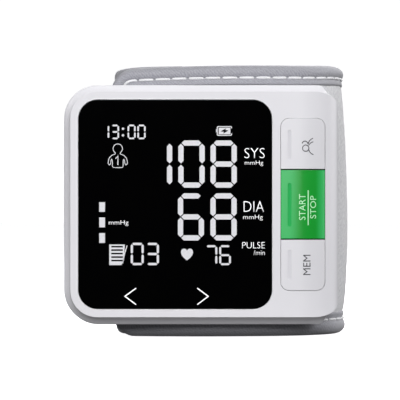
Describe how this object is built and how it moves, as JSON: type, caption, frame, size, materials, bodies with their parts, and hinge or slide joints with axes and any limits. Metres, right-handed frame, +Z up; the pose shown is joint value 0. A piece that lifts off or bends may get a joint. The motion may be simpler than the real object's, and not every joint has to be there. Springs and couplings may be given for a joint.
{
  "type": "wrist blood pressure monitor",
  "caption": "Wrist blood pressure monitor: flat housing with a glossy display window and a strip of keys on a curved wing, carried on a padded ring cuff that opens round the wrist.",
  "frame": {"origin": "middle of the footprint, at the height of the cuff's lower edge, on which the monitor stands", "axes": "+Z up along the wrist, -Y out of the display face, +X to the right as the display is read"},
  "size_m": [0.0791, 0.0716, 0.075],
  "materials": {
    "shell_white": "satin",
    "window_black": "gloss",
    "key_white": "satin",
    "key_green": "satin",
    "clear_film": "gloss",
    "display_glass": "gloss",
    "milky_plastic": "satin",
    "black_plastic": "matte",
    "silicone": "matte",
    "circuit_board": "satin",
    "chip_black": "matte",
    "steel": "satin",
    "battery_foil": "satin",
    "foam_pad": "matte",
    "fabric_white": "matte",
    "fabric_grey": "matte",
    "binding_grey": "matte",
    "bladder_grey": "matte",
    "hook_tape": "matte"
  },
  "bodies": {
    "monitor": {"front_cover": "shell_white", "rear_case": "shell_white", "display_window": "window_black", "touch_film": "clear_film", "lcd_panel": "display_glass", "light_guide": "milky_plastic", "display_frame": "black_plastic", "key_dome_memory": "silicone", "key_dome_start_stop": "silicone", "key_dome_user": "silicone", "key_board": "circuit_board", "main_board": "circuit_board", "microcontroller": "chip_black", "display_driver": "chip_black", "battery_connector": "milky_plastic", "buzzer": "chip_black", "usb_socket": "steel", "battery": "battery_foil", "battery_pad": "foam_pad", "pump_motor": "steel", "pump_head": "black_plastic", "pump_tube": "silicone", "air_manifold": "milky_plastic", "valve_tube": "silicone", "exhaust_valve": "steel", "pressure_sensor": "chip_black", "sensor_tube": "silicone", "air_nipple": "milky_plastic", "cuff_tube": "silicone", "case_screw_1": "steel", "case_screw_2": "steel", "cuff_screw_1": "steel", "cuff_screw_2": "steel", "cuff_screw_3": "steel", "cuff_screw_4": "steel", "cuff_cover_front": "fabric_white", "cuff_lining_front": "fabric_grey", "edge_binding_front": "binding_grey", "cuff_curler_front": "milky_plastic", "bladder_front": "bladder_grey", "hook_pad": "hook_tape"},
    "user_key": {"key_user": "key_white"},
    "start_stop_key": {"key_start_stop": "key_green"},
    "memory_key": {"key_memory": "key_white"},
    "wrap": {"cuff_cover_back": "fabric_white", "cuff_lining_back": "fabric_grey", "cuff_curler_back": "milky_plastic", "bladder_back": "bladder_grey", "edge_binding_back_low": "binding_grey", "edge_binding_back_high": "binding_grey"},
    "tail": {"tail_cover": "fabric_white", "tail_lining": "fabric_grey", "edge_binding_tail": "binding_grey"}
  },
  "joints": [
    {"name": "user_key_press", "type": "slide", "parent": "monitor", "child": "user_key", "axis": [0, 1, 0], "range_m": [0, 0.0007], "stiffness_N_per_m": 2200, "deforming": ["key_dome_user"]},
    {"name": "start_stop_key_press", "type": "slide", "parent": "monitor", "child": "start_stop_key", "axis": [0, 1, 0], "range_m": [0, 0.0007], "stiffness_N_per_m": 2200, "deforming": ["key_dome_start_stop"]},
    {"name": "memory_key_press", "type": "slide", "parent": "monitor", "child": "memory_key", "axis": [0, 1, 0], "range_m": [0, 0.0007], "stiffness_N_per_m": 2200, "deforming": ["key_dome_memory"]},
    {"name": "wrap_open", "type": "hinge", "parent": "monitor", "child": "wrap", "pos_m": [0.03925, 0.0075, 0.0375], "axis": [0, 0, -1], "range_deg": [0, 70]},
    {"name": "tail_open", "type": "hinge", "parent": "wrap", "child": "tail", "pos_m": [-0.02236, 0.02321, 0.0375], "axis": [0, 0, -1], "range_deg": [0, 52.5]}
  ],
  "couplings": [
    {"joint": "tail_open", "follows": "wrap_open", "ratio": 0.75}
  ]
}
